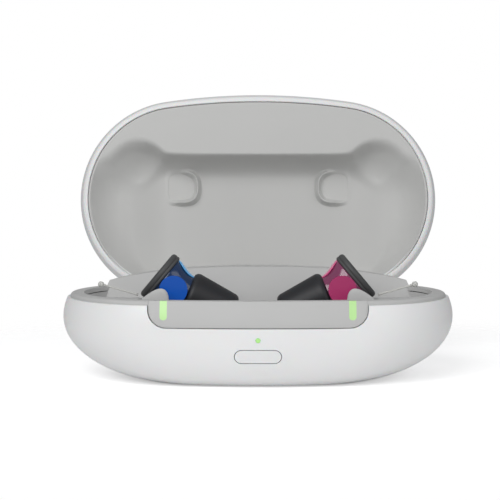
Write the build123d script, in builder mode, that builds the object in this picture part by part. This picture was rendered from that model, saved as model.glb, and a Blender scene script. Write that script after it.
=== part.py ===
from build123d import *
import math
import os

os.makedirs("parts", exist_ok=True)

# Hearing aid charger: a pebble-shaped case with its lid standing open.
# Millimetres. X right, Y to the back, Z up, origin in the middle of the resting face.

# Case outline at the rim, and how far the body swells beyond it
rim_half_width = 43.65
rim_half_depth = 25.4
end_roundness = 0.945
swell = 1.35

# Base heights
rim_height = 19.7
swell_height = 14.2
base_end_drop = 25.0
base_side_drop = 12.5

# Lid heights, measured from its own rim in the closed position
rim_gap = 0.3
lid_height = 13.0
lid_swell_rise = 5.5
lid_end_drop = 25.0
lid_side_drop = 12.5

# Walls
shell_wall = 1.6
flange_thickness = 1.0
flange_inset = 0.3
tray_wall = 1.2
fit = 0.1

# Front notch and panel
notch_half_width = 24.1
notch_depth = 5.85
notch_corner = 4.1
panel_recess = 0.9
panel_gap = 0.15
panel_wall = 1.5
bar_offset = 20.6
bar_width = 1.6
bar_height = 4.1
bar_wall = 0.8

# Button and status light in the front wall
button_height = 7.7
button_length = 10.1
button_width = 2.9
button_gap = 0.15
button_travel = 0.4
button_lip = 0.5
button_lip_wall = 0.8
status_height = 11.4
status_radius = 0.52

# Hinge
hinge_inset = 0.8
hinge_drop = 3.5
hinge_open_angle = 97.0
arm_offset = 12.0
arm_width = 7.0
arm_gap = 0.35
barrel_radius = 2.0
arm_inner = 2.9
arm_thickness = 1.4
arm_rise = 8.4
pin_radius = 0.75
pin_clearance = 0.05
ear_width = 2.2
ear_depth = 4.6
slot_gap = 0.4

# Tray
basin_inset = 3.4
basin_depth = 2.6
trough_half_width = 29.0
trough_front_room = 10.4
trough_rear_room = 13.9
trough_depth = 9.2
trough_corner = 6.0
arch_height = 4.4
arch_half_width = 41.5
arch_crest = 6.6
slope_depth = 4.5
slope_sag = 1.7
slope_rise = 0.2
fin_offset = 22.6
fin_width = 4.9
fin_wall = 1.2
fin_rise = 1.5
fin_setback = 1.8

# Liner
liner_wall = 1.0
recess_inset = 2.4
recess_height = 9.2
recess_front = 13.8
plateau_reach = 9.2
plateau_half_width = 19.0
recess_round = 1.8
cup_offset = 18.6
cup_setback = 3.0
cup_width = 7.6
cup_length = 8.1
cup_height = 1.2

# Inner parts
board_length = 54.0
board_depth = 27.0
board_thickness = 1.0
board_height = 7.4
tongue_width = 12.0
cell_length = 26.0
cell_width = 17.0
cell_thickness = 4.6
foot_thickness = 0.9
foot_proud = 0.3
foot_half_width = 22.0
foot_half_depth = 14.4
foot_end_radius = 13.4
socket_width = 8.9
socket_height = 3.2
socket_length = 7.3
socket_wall = 0.35
magnet_radius = 1.6
magnet_length = 1.4
magnet_end_room = 15.65
magnet_front_room = 7.8

# Hearing aids, each lying in its cradle
aid_setback = 3.0
plate_length = 12.2
plate_width = 10.0
plate_thickness = 2.0
plate_tilt = 40.0
plate_middle_x = 21.8
plate_middle_rise = 3.1
body_neck_radius = 4.2
sleeve_tilt = 22.0
sleeve_start_x = 16.24
sleeve_start_rise = -0.3
sleeve_start_radius = 5.3
sleeve_end_radius = 3.9
sleeve_length = 11.6
disc_radius = 3.2
disc_thickness = 1.4
line_radius = 0.25
line_length = 10.05
line_inset = 1.25
line_tilt = 15.7
knob_radius = 0.75
aid_gap = 0.3
cradle_rise = 4.6
cradle_offset = 18.4
cradle_length = 19.0
cradle_width = 13.6
pad_radius = 0.7

# Posts, screws and the small board behind the button
post_x = 16.6
post_front = 8.2
post_rear = 6.0
post_radius = 2.1
screw_radius = 0.8
head_radius = 1.5
head_height = 1.0
lip_room = 3.4
switch_size = 3.4
switch_play = 0.1
led_size = 1.0
button_board_height = 10.0
button_board_drop = 3.6
pin_spacing = 5.0

rear_edge = rim_half_depth
trough_front = rim_half_depth - trough_front_room
trough_rear = rim_half_depth - trough_rear_room
lip_front = rim_half_depth - lip_room
magnet_offset = rim_half_width - magnet_end_room
magnet_setback = rim_half_depth - magnet_front_room
hinge_y = rear_edge - hinge_inset
hinge_z = rim_height - hinge_drop
lid_rim = rim_height + rim_gap
lid_top = lid_rim + lid_height
shell_top = rim_height - flange_thickness


def oval(half_width, half_depth, end_radius):
    """Face bounded by four tangent arcs: two round ends joined by two long shallow arcs."""
    reach = half_width - end_radius
    long_radius = (reach**2 + half_depth**2 - end_radius**2) / (2 * (half_depth - end_radius))
    span = math.hypot(reach, long_radius - half_depth)
    tx = long_radius * reach / span
    ty = half_depth - long_radius + long_radius * (long_radius - half_depth) / span
    with BuildLine() as outline:
        ThreePointArc((tx, -ty), (half_width, 0), (tx, ty))
        ThreePointArc((tx, ty), (0, half_depth), (-tx, ty))
        ThreePointArc((-tx, ty), (-half_width, 0), (-tx, -ty))
        ThreePointArc((-tx, -ty), (0, -half_depth), (tx, -ty))
    make_face(outline.edges())


def rim_oval(inset):
    """The rim outline moved inwards by an even distance."""
    oval(
        rim_half_width - inset,
        rim_half_depth - inset,
        rim_half_depth * end_roundness - inset,
    )


def pebble(rim, widest, end, end_drop, side_drop, inset):
    """Loft from the flat end to the rim: a quarter ellipse to the widest level, then a slight draw-in."""
    side = 1 if rim > end else -1
    tall = abs(widest - end) - inset
    levels = []
    for angle in (76, 62, 48, 34, 20, 8):
        level = widest - side * tall * math.sin(math.radians(angle)) / math.sin(math.radians(76))
        share = 1 - math.cos(math.radians(angle))
        depth = rim_half_depth + swell - side_drop * share
        with BuildSketch(Plane.XY.offset(level)) as section:
            oval(
                rim_half_width + swell - end_drop * share - inset,
                depth - inset,
                depth * end_roundness - inset,
            )
        levels.append(section.sketch)
    for share in (0.5, 1.0):
        depth = rim_half_depth + swell * (1 - share**2)
        with BuildSketch(Plane.XY.offset(widest + (rim - widest) * share)) as section:
            oval(
                rim_half_width + swell * (1 - share**2) - inset,
                depth - inset,
                depth * end_roundness - inset,
            )
        levels.append(section.sketch)
    loft(levels)


def base_form(inset):
    """Outer form of the base, moved inwards by an even distance."""
    pebble(rim_height, swell_height, 0, base_end_drop, base_side_drop, inset)


def lid_form(inset):
    """Outer form of the closed lid, moved inwards by an even distance."""
    pebble(lid_rim, lid_rim + lid_swell_rise, lid_top, lid_end_drop, lid_side_drop, inset)



with BuildPart() as outer_base:
    base_form(0)
with BuildPart() as inner_base:
    base_form(shell_wall)
with BuildPart() as panel_front:
    base_form(panel_recess)
with BuildPart() as panel_middle:
    base_form(panel_recess + bar_wall)
with BuildPart() as panel_back:
    base_form(panel_recess + panel_wall)
with BuildPart() as outer_lid:
    lid_form(0)
with BuildPart() as inner_lid:
    lid_form(shell_wall)
with BuildPart() as liner_back:
    lid_form(shell_wall + fit)
with BuildPart() as liner_face:
    lid_form(shell_wall + fit + liner_wall)

front = Plane.XZ.offset(12)
rear = Plane.XZ.offset(-12)
notch_floor = rim_height - notch_depth
socket_z = board_height + board_thickness + socket_height / 2
slot_front = hinge_y - arm_inner - slot_gap
slot_floor = hinge_z - barrel_radius - slot_gap
slot_width = arm_width + 2 * arm_gap
recess_rear = rear_edge - recess_inset
arch_rear = recess_rear - 0.4


def notch_face(gap):
    """Front notch seen from the front, smaller all round by a gap."""
    with Locations((0, notch_floor + gap + 10)):
        RectangleRounded(2 * (notch_half_width - gap), 20, notch_corner - gap)


with BuildPart() as notch_zone:
    with BuildSketch(front):
        notch_face(panel_gap)
    extrude(amount=20)

post_points = [(sx * post_x, y) for sx in (-1, 1) for y in (-post_front, post_rear)]
board_top = board_height + board_thickness
pin_points = [
    (side * (plate_middle_x - pin_spacing * (i + 0.5)), -aid_setback) for side in (-1, 1) for i in (0, 1)
]
tub_floor = rim_height - trough_depth - tray_wall

with BuildPart() as posts:
    with BuildSketch(Plane.XY.offset(foot_thickness)):
        with Locations(*post_points):
            Circle(post_radius)
    extrude(amount=board_height - foot_thickness)
    add(outer_base.part, mode=Mode.INTERSECT)

# White outer shell of the base
with BuildPart() as base_shell:
    add(outer_base.part)
    add(inner_base.part, mode=Mode.SUBTRACT)
    with BuildSketch(Plane.XY.offset(shell_top)):
        Rectangle(120, 80)
    extrude(amount=5, mode=Mode.SUBTRACT)
    with BuildSketch(Plane.XY.offset(foot_proud)):
        Rectangle(120, 80)
    extrude(amount=-5, mode=Mode.SUBTRACT)
    for side in (-1, 1):
        for edge in (-1, 1):
            ear_x = side * arm_offset + edge * (slot_width + ear_width) / 2
            with Locations((ear_x, hinge_y - ear_depth / 2 + 0.9, hinge_z)):
                Box(ear_width, ear_depth, ear_depth)
    add(posts.part)
    with BuildSketch(Plane.XY):
        with Locations(*post_points):
            Circle(screw_radius + fit)
    extrude(amount=board_height, mode=Mode.SUBTRACT)
    with BuildSketch(Plane.XY):
        with Locations(*post_points):
            Circle(head_radius + fit)
    extrude(amount=foot_thickness + head_height, mode=Mode.SUBTRACT)
    with BuildSketch(front):
        notch_face(0)
    extrude(amount=20, mode=Mode.SUBTRACT)
    with BuildSketch(front):
        with Locations((0, button_height)):
            SlotOverall(button_length + 2 * button_gap, button_width + 2 * button_gap)
        with Locations((0, status_height)):
            Circle(status_radius + pin_clearance)
    extrude(amount=20, mode=Mode.SUBTRACT)
    with BuildSketch(rear):
        with Locations((0, socket_z)):
            SlotOverall(socket_width + 2 * fit, socket_height + 2 * fit)
    extrude(amount=-20, mode=Mode.SUBTRACT)
    for side in (-1, 1):
        with BuildSketch(Plane.XY.offset(slot_floor)):
            with Locations((side * arm_offset, slot_front + 5)):
                Rectangle(slot_width, 10)
        extrude(amount=20, mode=Mode.SUBTRACT)
        with BuildSketch(Plane.YZ.offset(side * arm_offset - 12)):
            with Locations((hinge_y, hinge_z)):
                Circle(pin_radius + fit / 5)
        extrude(amount=24, mode=Mode.SUBTRACT)
    with BuildSketch(Plane.XY.offset(foot_proud)):
        oval(foot_half_width, foot_half_depth, foot_end_radius)
    extrude(amount=foot_thickness - foot_proud, mode=Mode.SUBTRACT)

# Rubber foot in the recess of the resting face
with BuildPart() as foot:
    with BuildSketch(Plane.XY):
        oval(foot_half_width - fit, foot_half_depth - fit, foot_end_radius - fit)
    extrude(amount=foot_thickness)


with BuildPart() as panel:
    add(notch_zone.part)
    add(panel_front.part, mode=Mode.INTERSECT)
    add(panel_back.part, mode=Mode.SUBTRACT)

with BuildPart() as notch_front:
    add(notch_zone.part)
    add(panel_front.part, mode=Mode.SUBTRACT)

# Places of the two light bars in the front panel
with BuildPart() as bar_zone:
    with BuildSketch(front):
        with Locations((bar_offset, rim_height - bar_height + 5), (-bar_offset, rim_height - bar_height + 5)):
            RectangleRounded(bar_width, 10, bar_width / 2 - 0.05)
    extrude(amount=20)

with BuildPart() as bar_back:
    add(bar_zone.part)
    add(panel_middle.part, mode=Mode.INTERSECT)
    add(panel_back.part, mode=Mode.SUBTRACT)

# Light bars, flush with the panel
with BuildPart() as light_bars:
    add(bar_zone.part)
    add(panel_front.part, mode=Mode.INTERSECT)
    add(panel_middle.part, mode=Mode.SUBTRACT)

# Hollow slope in front of the ridge, from its crest down to the trough
crest_front = (arch_rear - arch_crest, rim_height + arch_height)
slope_foot = (trough_rear, rim_height - slope_depth)
dip = (trough_rear + slope_sag, rim_height + slope_rise)
with BuildPart() as slope_room:
    with BuildSketch(Plane.YZ.offset(-rim_half_width)):
        with BuildLine():
            ThreePointArc(crest_front, dip, slope_foot)
            Polyline(slope_foot, (trough_rear, rim_height + arch_height), crest_front)
        make_face()
    extrude(amount=2 * rim_half_width)
    with BuildSketch(Plane.XY.offset(rim_height - slope_depth)):
        rim_oval(basin_inset)
    extrude(amount=slope_depth + arch_height, mode=Mode.INTERSECT)
    with BuildSketch(Plane.XY.offset(rim_height - slope_depth)):
        for side in (-1, 1):
            with Locations((side * (trough_half_width - trough_corner + rim_half_width / 2), trough_rear)):
                Rectangle(rim_half_width, rim_half_depth)
    extrude(amount=slope_depth - basin_depth, mode=Mode.SUBTRACT)

# Ridge along the rear of the tray that covers the hinge
with BuildPart() as ridge:
    with BuildSketch(Plane.YZ.offset(-rim_half_width)):
        with BuildLine():
            Line((arch_rear, shell_top), (arch_rear, rim_height + arch_height))
            Line((arch_rear, rim_height + arch_height), crest_front)
            ThreePointArc(crest_front, dip, slope_foot)
            Line(slope_foot, (trough_rear + tray_wall, rim_height - slope_depth))
            Line((trough_rear + tray_wall, rim_height - slope_depth), (trough_rear + 5, shell_top))
            Line((trough_rear + 5, shell_top), (arch_rear, shell_top))
        make_face()
    extrude(amount=2 * rim_half_width)
    with BuildSketch(Plane.XZ):
        with BuildLine():
            steps = [i / 8 for i in range(-8, 9)]
            Spline(*[
                (arch_half_width * t, rim_height + arch_height * (1 - abs(t) ** 2.6)) for t in steps
            ])
            Polyline(
                (arch_half_width, rim_height),
                (arch_half_width, rim_height - 6),
                (-arch_half_width, rim_height - 6),
                (-arch_half_width, rim_height),
            )
        make_face()
    extrude(amount=-40, mode=Mode.INTERSECT)
    with BuildSketch(Plane.XY.offset(rim_height - 6)):
        rim_oval(recess_inset + 0.4)
    extrude(amount=20, mode=Mode.INTERSECT)

# Grey tray: rim flange, end basins, trough, rear ridge and the front panel
with BuildPart() as tray:
    with BuildSketch(Plane.XY.offset(shell_top)):
        rim_oval(flange_inset)
    extrude(amount=flange_thickness)
    fillet(tray.edges().group_by(Axis.Z)[-1], 0.7)
    with BuildSketch(Plane.XY.offset(rim_height - basin_depth - tray_wall)):
        rim_oval(basin_inset - tray_wall)
        with Locations((0, -rim_half_depth + (rim_half_depth + trough_rear + tray_wall) / 2)):
            Rectangle(120, rim_half_depth + trough_rear + tray_wall, mode=Mode.INTERSECT)
    extrude(amount=basin_depth)
    trough_middle = (trough_rear - trough_front) / 2
    with BuildSketch(Plane.XY.offset(rim_height - trough_depth - tray_wall)):
        with Locations((0, trough_middle)):
            RectangleRounded(
                2 * (trough_half_width + tray_wall),
                trough_rear + trough_front + 2 * tray_wall,
                trough_corner + tray_wall,
            )
    extrude(amount=trough_depth)
    add(ridge.part)
    add(slope_room.part, mode=Mode.SUBTRACT)
    with BuildSketch(Plane.XY.offset(rim_height - basin_depth)):
        rim_oval(basin_inset)
        with Locations((0, -rim_half_depth + (rim_half_depth + trough_rear) / 2)):
            Rectangle(120, rim_half_depth + trough_rear, mode=Mode.INTERSECT)
    extrude(amount=basin_depth + 1, mode=Mode.SUBTRACT)
    with BuildSketch(Plane.XY.offset(rim_height - trough_depth)):
        with Locations((0, trough_middle)):
            RectangleRounded(2 * trough_half_width, trough_rear + trough_front, trough_corner)
    extrude(amount=trough_depth + 1, mode=Mode.SUBTRACT)
    for side in (-1, 1):
        with BuildSketch(Plane.XZ.offset(trough_front - fin_setback - fin_wall)):
            with BuildLine():
                inner = side * (fin_offset - fin_width / 2)
                outer = side * (fin_offset + fin_width / 2)
                peak = side * (fin_offset - fin_width / 6)
                Polyline(
                    (inner, rim_height - trough_depth),
                    (inner, rim_height - 0.6),
                    (peak, rim_height + fin_rise),
                    (outer, rim_height - 0.8),
                    (outer, rim_height - trough_depth),
                    close=True,
                )
            make_face()
        extrude(amount=fin_wall)
    with BuildSketch(Plane.XY.offset(board_top)):
        with Locations(*post_points):
            Circle(post_radius)
    extrude(amount=tub_floor + tray_wall / 2 - board_top)
    with BuildSketch(Plane.XY.offset(board_top)):
        with Locations(*post_points):
            Circle(screw_radius + fit / 5)
        with Locations(*pin_points):
            Circle(pad_radius + fit / 5)
    extrude(amount=tub_floor + tray_wall / 2 - board_top, mode=Mode.SUBTRACT)
    with BuildSketch(Plane.XY.offset(tub_floor)):
        with Locations(*pin_points):
            Circle(pad_radius + fit / 5)
    extrude(amount=tray_wall, mode=Mode.SUBTRACT)
    add(panel.part)
    add(notch_front.part, mode=Mode.SUBTRACT)
    add(bar_zone.part.solids(), mode=Mode.SUBTRACT)
    add(bar_back.part)
    for side in (-1, 1):
        with BuildSketch(Plane.XY.offset(slot_floor)):
            with Locations((side * arm_offset, slot_front + 5)):
                Rectangle(slot_width, 10)
        extrude(amount=20, mode=Mode.SUBTRACT)

bars = light_bars.part.solids().sort_by(Axis.X)

# Left hearing aid: faceplate, body, charging disc, sleeve, pull line and knob
aid_y = -aid_setback
lean = math.radians(plate_tilt)
dip_angle = math.radians(sleeve_tilt)
plate_at = Vector(-plate_middle_x, aid_y, rim_height + plate_middle_rise)
plate_out = Vector(math.cos(lean), 0, -math.sin(lean))
plate_up = Vector(math.sin(lean), 0, math.cos(lean))
sleeve_at = Vector(-sleeve_start_x, aid_y, rim_height + sleeve_start_rise)
sleeve_out = Vector(math.cos(dip_angle), 0, -math.sin(dip_angle))
plate_plane = Plane(origin=plate_at, x_dir=plate_up, z_dir=plate_out)
sleeve_plane = Plane(origin=sleeve_at, x_dir=(math.sin(dip_angle), 0, math.cos(dip_angle)), z_dir=sleeve_out)
disc_at = plate_at + plate_out * 3.3 + plate_up * 0.1
body_middle = plate_plane.offset(3.2)


def plate_solid(grow):
    """Oval faceplate, grown all round by a gap."""
    with BuildSketch(plate_plane.offset(grow)) as face:
        Ellipse(plate_length / 2 + grow, plate_width / 2 + grow)
    extrude(face.sketch, amount=-plate_thickness - 2 * grow)


def body_solid(grow):
    """Body from the faceplate to the neck."""
    with BuildSketch(plate_plane) as wide:
        Ellipse(plate_length / 2 - 0.3 + grow, plate_width / 2 - 0.2 + grow)
    with BuildSketch(body_middle) as middle:
        Ellipse(plate_length / 2 - 0.7 + grow, plate_width / 2 + 0.1 + grow)
    with BuildSketch(sleeve_plane) as neck:
        Circle(body_neck_radius + grow)
    loft([wide.sketch, middle.sketch, neck.sketch])


def sleeve_solid(grow):
    """Soft sleeve that narrows to its rounded end."""
    with BuildSketch(sleeve_plane.offset(-grow)) as start:
        Circle(sleeve_start_radius + grow)
    with BuildSketch(sleeve_plane.offset(sleeve_length + grow)) as end:
        Circle(sleeve_end_radius + grow)
    loft([start.sketch, end.sketch])


def disc_solid(grow):
    """Charging disc set in the front flank of the body."""
    with BuildSketch(Plane(origin=(disc_at.X, aid_y - plate_width / 2 - 0.3, disc_at.Z), z_dir=(0, 1, 0))) as face:
        Circle(disc_radius + grow)
    extrude(face.sketch, amount=disc_thickness)


with BuildPart() as left_faceplate:
    plate_solid(0)
    fillet(left_faceplate.edges().filter_by(GeomType.ELLIPSE), 0.5)

with BuildPart() as left_disc:
    disc_solid(0)

with BuildPart() as left_body:
    body_solid(0)
    add(left_disc.part, mode=Mode.SUBTRACT)

with BuildPart() as left_sleeve:
    sleeve_solid(0)
    fillet(left_sleeve.faces().sort_by(Axis.X)[-1].edges(), 1.4)

line_tip = Vector(-math.cos(math.radians(line_tilt)), 0, math.sin(math.radians(line_tilt)))
line_start = plate_at - plate_up * (plate_length / 2 - 0.1) - plate_out * (plate_thickness / 2)
knob_at = line_start + line_tip * line_length

with BuildPart() as left_knob:
    with Locations(knob_at):
        Sphere(knob_radius)

with BuildPart() as left_pull_line:
    with BuildSketch(Plane(origin=line_start + line_tip * line_inset, z_dir=line_tip)):
        Circle(line_radius)
    extrude(amount=line_length - line_inset - knob_radius)

# Room that the aid takes in its cradle, with its clearance
with BuildPart() as aid_room:
    plate_solid(aid_gap)
    body_solid(aid_gap)
    sleeve_solid(aid_gap)

with BuildPart() as left_cradle:
    with BuildSketch(Plane.XY.offset(rim_height - trough_depth)):
        with Locations((-cradle_offset, aid_y)):
            RectangleRounded(cradle_length, cradle_width, 2.5)
        with Locations(*pin_points[:2]):
            Circle(pad_radius + fit / 5, mode=Mode.SUBTRACT)
    extrude(amount=cradle_rise)
    add(aid_room.part, mode=Mode.SUBTRACT)

with BuildPart() as left_pins:
    with BuildSketch(Plane.XY.offset(board_top)):
        with Locations(*pin_points[:2]):
            Circle(pad_radius)
    extrude(amount=cradle_rise + trough_depth)
    add(aid_room.part, mode=Mode.SUBTRACT)


with BuildPart() as right_faceplate:
    mirror(left_faceplate.part, about=Plane.YZ)
with BuildPart() as right_disc:
    mirror(left_disc.part, about=Plane.YZ)
with BuildPart() as right_body:
    mirror(left_body.part, about=Plane.YZ)
with BuildPart() as right_sleeve:
    mirror(left_sleeve.part, about=Plane.YZ)
with BuildPart() as right_knob:
    mirror(left_knob.part, about=Plane.YZ)
with BuildPart() as right_pull_line:
    mirror(left_pull_line.part, about=Plane.YZ)
with BuildPart() as right_cradle:
    mirror(left_cradle.part, about=Plane.YZ)
with BuildPart() as right_pins:
    mirror(left_pins.part, about=Plane.YZ)

# Button: the cap follows the shell, a lip behind the wall keeps it in
with BuildPart() as button_cap:
    with BuildSketch(Plane.XZ.offset(lip_front - button_lip_wall)):
        with Locations((0, button_height)):
            SlotOverall(button_length, button_width)
    extrude(amount=20)
    add(outer_base.part, mode=Mode.INTERSECT)
    with BuildSketch(Plane.XZ.offset(lip_front - button_lip_wall)):
        with Locations((0, button_height)):
            SlotOverall(button_length + 2 * button_lip, button_width + 2 * button_lip)
    extrude(amount=button_lip_wall)

switch_front = lip_front - button_lip_wall - button_travel - switch_play
board_front = switch_front - switch_size
with BuildPart() as button_switch:
    with Locations((0, -switch_front + switch_size / 2, button_height)):
        Box(1.6 * switch_size, switch_size, switch_size)

with BuildPart() as button_board:
    with Locations((0, -board_front + board_thickness / 2, status_height - button_board_drop)):
        Box(tongue_width, board_thickness, button_board_height)

with BuildPart() as status_led:
    with Locations((0, -board_front - led_size / 2, status_height)):
        Box(1.6 * led_size, led_size, led_size)

with BuildPart() as status_light:
    with BuildSketch(Plane.XZ.offset(board_front + led_size)):
        with Locations((0, status_height)):
            Circle(status_radius)
    extrude(amount=20)
    add(outer_base.part, mode=Mode.INTERSECT)

board_rear = board_depth - board_front + board_thickness
with BuildPart() as main_board:
    with BuildSketch(Plane.XY.offset(board_height)):
        with Locations((0, (board_rear - board_front + board_thickness) / 2)):
            Rectangle(board_length, board_rear + board_front - board_thickness)
        with Locations((0, board_rear + (rear_edge - 2.2 - board_rear) / 2)):
            Rectangle(tongue_width, rear_edge - 2.2 - board_rear)
        with Locations(*post_points):
            Circle(screw_radius + fit, mode=Mode.SUBTRACT)
    extrude(amount=board_thickness)

with BuildPart() as battery_cell:
    with BuildSketch(Plane.XY.offset(board_height - cell_thickness)):
        with Locations((0, (post_rear - post_front) / 2)):
            RectangleRounded(cell_length, cell_width, 2.0)
    extrude(amount=cell_thickness)

with BuildPart() as usb_socket:
    with BuildSketch(Plane.XZ.offset(-rear_edge + 0.6)):
        with Locations((0, socket_z)):
            SlotOverall(socket_width, socket_height)
    extrude(amount=socket_length)
    with BuildSketch(Plane.XZ.offset(-rear_edge + 0.6)):
        with Locations((0, socket_z)):
            SlotOverall(socket_width - 2 * socket_wall, socket_height - 2 * socket_wall)
            Rectangle(socket_width - 3.0, 0.7, mode=Mode.SUBTRACT)
    extrude(amount=socket_length - 1.0, mode=Mode.SUBTRACT)

# Screws that hold base, board and tray together
screws = []
for point in post_points:
    with BuildPart() as screw:
        with BuildSketch(Plane.XY.offset(foot_thickness)):
            with Locations(point):
                Circle(head_radius)
        extrude(amount=head_height)
        with BuildSketch(Plane.XY.offset(foot_thickness + head_height)):
            with Locations(point):
                Circle(screw_radius)
        extrude(amount=tub_floor - foot_thickness - head_height)
        with BuildSketch(Plane.XY.offset(foot_thickness)):
            with Locations(point):
                RegularPolygon(head_radius / 2.2, 6)
        extrude(amount=head_height / 2, mode=Mode.SUBTRACT)
    screws.append(screw.part)

# Closure magnets under the tray
magnets = []
for side in (-1, 1):
    with BuildPart() as magnet:
        with BuildSketch(Plane.XY.offset(rim_height - basin_depth - tray_wall)):
            with Locations((side * magnet_offset, -magnet_setback)):
                Circle(magnet_radius)
        extrude(amount=-magnet_length)
    magnets.append(magnet.part)

# Steel hinge pins
pins = []
for side in (-1, 1):
    with BuildPart() as pin:
        with BuildSketch(Plane.YZ.offset(side * arm_offset - slot_width / 2 - ear_width)):
            with Locations((hinge_y, hinge_z)):
                Circle(pin_radius)
        extrude(amount=slot_width + 2 * ear_width)
    pins.append(pin.part)

# Lid shell, drawn closed
with BuildPart() as lid_shell:
    add(outer_lid.part)
    add(inner_lid.part, mode=Mode.SUBTRACT)
    with BuildSketch(Plane.XY.offset(lid_rim + flange_thickness)):
        Rectangle(120, 80)
    extrude(amount=-5, mode=Mode.SUBTRACT)


# Liner recess: the rim outline cut off at the front by a stepped edge, bare and with its wall
recess_step = 0.45 * (recess_front - plateau_reach)
recess_faces = []
for wall in (0, liner_wall):
    with BuildSketch() as recess:
        rim_oval(recess_inset - wall)
        with Locations((0, -recess_front - wall - rim_half_depth)):
            Rectangle(3 * rim_half_width, 2 * rim_half_depth, mode=Mode.SUBTRACT)
        with Locations((0, -plateau_reach - wall - rim_half_depth)):
            Rectangle(2 * (plateau_half_width - wall), 2 * rim_half_depth, mode=Mode.SUBTRACT)
        front_corners = recess.vertices().filter_by_position(
            Axis.Y, -recess_front - wall - fit, -plateau_reach - wall + fit
        )
        fillet(front_corners, recess_step)
    recess_faces.append(recess.sketch)
recess_face, recess_wall_face = recess_faces

# Grey liner of the lid
with BuildPart() as liner_room:
    with BuildSketch(Plane.XY.offset(lid_rim - 1)):
        add(recess_face)
    extrude(amount=recess_height + 1)
    fillet(liner_room.faces().sort_by(Axis.Z)[-1].edges(), recess_round)
    add(liner_face.part, mode=Mode.INTERSECT)

with BuildPart() as lid_liner:
    with BuildSketch(Plane.XY.offset(lid_rim)):
        add(recess_wall_face)
    extrude(amount=recess_height + liner_wall)
    with BuildSketch(Plane.XY.offset(lid_rim + recess_height - 1)):
        with Locations((cup_offset, -cup_setback), (-cup_offset, -cup_setback)):
            RectangleRounded(cup_width + 2 * liner_wall, cup_length + 2 * liner_wall, cup_width / 2)
    extrude(amount=cup_height + 1 + liner_wall)
    add(liner_back.part, mode=Mode.INTERSECT)
    with BuildSketch(Plane.XY.offset(lid_rim)) as flange_sketch:
        rim_oval(flange_inset)
    extrude(amount=flange_thickness)
    add(liner_room.part, mode=Mode.SUBTRACT)
    with BuildSketch(Plane.XY.offset(lid_rim - 1)):
        add(recess_face)
    extrude(amount=2 * flange_thickness + 1, mode=Mode.SUBTRACT)
    with BuildSketch(Plane.XY.offset(lid_rim + recess_height - 1)):
        with Locations((cup_offset, -cup_setback), (-cup_offset, -cup_setback)):
            RectangleRounded(cup_width, cup_length, cup_width / 2 - 0.4)
    extrude(amount=cup_height + 1, mode=Mode.SUBTRACT)
    for side in (-1, 1):
        with BuildSketch(Plane.XY.offset(lid_rim - 1)):
            with Locations((side * arm_offset, slot_front + 0.2 + 5)):
                Rectangle(arm_width + 2 * fit, 10)
        extrude(amount=arm_rise - hinge_drop + 1 + fit, mode=Mode.SUBTRACT)

# Hinge arms that carry the lid
arms = []
for side in (-1, 1):
    with BuildPart() as arm:
        with BuildSketch(Plane.YZ.offset(side * arm_offset - arm_width / 2)):
            with Locations((hinge_y, hinge_z)):
                Circle(barrel_radius)
            with Locations((hinge_y - arm_inner + arm_thickness / 2, hinge_z + arm_rise / 2)):
                Rectangle(arm_thickness, arm_rise)
            with Locations((hinge_y, hinge_z)):
                Circle(pin_radius + pin_clearance, mode=Mode.SUBTRACT)
        extrude(amount=arm_width)
    arms.append(arm.part)

lid_magnets = []
for side in (-1, 1):
    with BuildPart() as magnet:
        with BuildSketch(Plane.XY.offset(lid_rim + flange_thickness)):
            with Locations((side * magnet_offset, -magnet_setback)):
                Circle(magnet_radius)
        extrude(amount=magnet_length)
    lid_magnets.append(magnet.part)

hinge_line = Axis((0, hinge_y, hinge_z), (1, 0, 0))
sides = ("left", "right")
pieces = {
    "base_shell": base_shell.part,
    "rubber_foot": foot.part,
    "inner_tray": tray.part,
    "button_cap": button_cap.part,
    "button_switch": button_switch.part,
    "button_board": button_board.part,
    "status_led": status_led.part,
    "status_light": status_light.part,
    "main_board": main_board.part,
    "battery_cell": battery_cell.part,
    "usb_socket": usb_socket.part,
    "left_cradle": left_cradle.part,
    "right_cradle": right_cradle.part,
    "left_charge_pins": left_pins.part,
    "right_charge_pins": right_pins.part,
    "left_aid_faceplate": left_faceplate.part,
    "left_aid_body": left_body.part,
    "left_aid_disc": left_disc.part,
    "left_aid_sleeve": left_sleeve.part,
    "left_aid_pull_line": left_pull_line.part,
    "left_aid_knob": left_knob.part,
    "right_aid_faceplate": right_faceplate.part,
    "right_aid_body": right_body.part,
    "right_aid_disc": right_disc.part,
    "right_aid_sleeve": right_sleeve.part,
    "right_aid_pull_line": right_pull_line.part,
    "right_aid_knob": right_knob.part,
}
bars = light_bars.part.solids().sort_by(Axis.X)
for i in range(4):
    pieces[f"case_screw_{i + 1}"] = screws[i]
for i in range(2):
    pieces[f"{sides[i]}_light_bar"] = bars[i]
    pieces[f"{sides[i]}_base_magnet"] = magnets[i]
    pieces[f"{sides[i]}_hinge_pin"] = pins[i]
lid_pieces = {
    "lid_shell": lid_shell.part,
    "lid_liner": lid_liner.part,
    "left_hinge_arm": arms[0],
    "right_hinge_arm": arms[1],
    "left_lid_magnet": lid_magnets[0],
    "right_lid_magnet": lid_magnets[1],
}
for name, body in lid_pieces.items():
    pieces[name] = body.rotate(hinge_line, -hinge_open_angle)
for name, body in pieces.items():
    body.label = name
    export_step(body, f"parts/{name}.step")
    box = body.bounding_box()
    print(f"{name}: {len(body.solids())} solid, {body.volume:.1f} mm3, {body.is_valid}", box)
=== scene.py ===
"""Looks of a hearing aid charger: white pebble case, grey tray and liner, two in-ear aids."""

import logging
import math
from dataclasses import dataclass, replace
from enum import Enum

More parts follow.
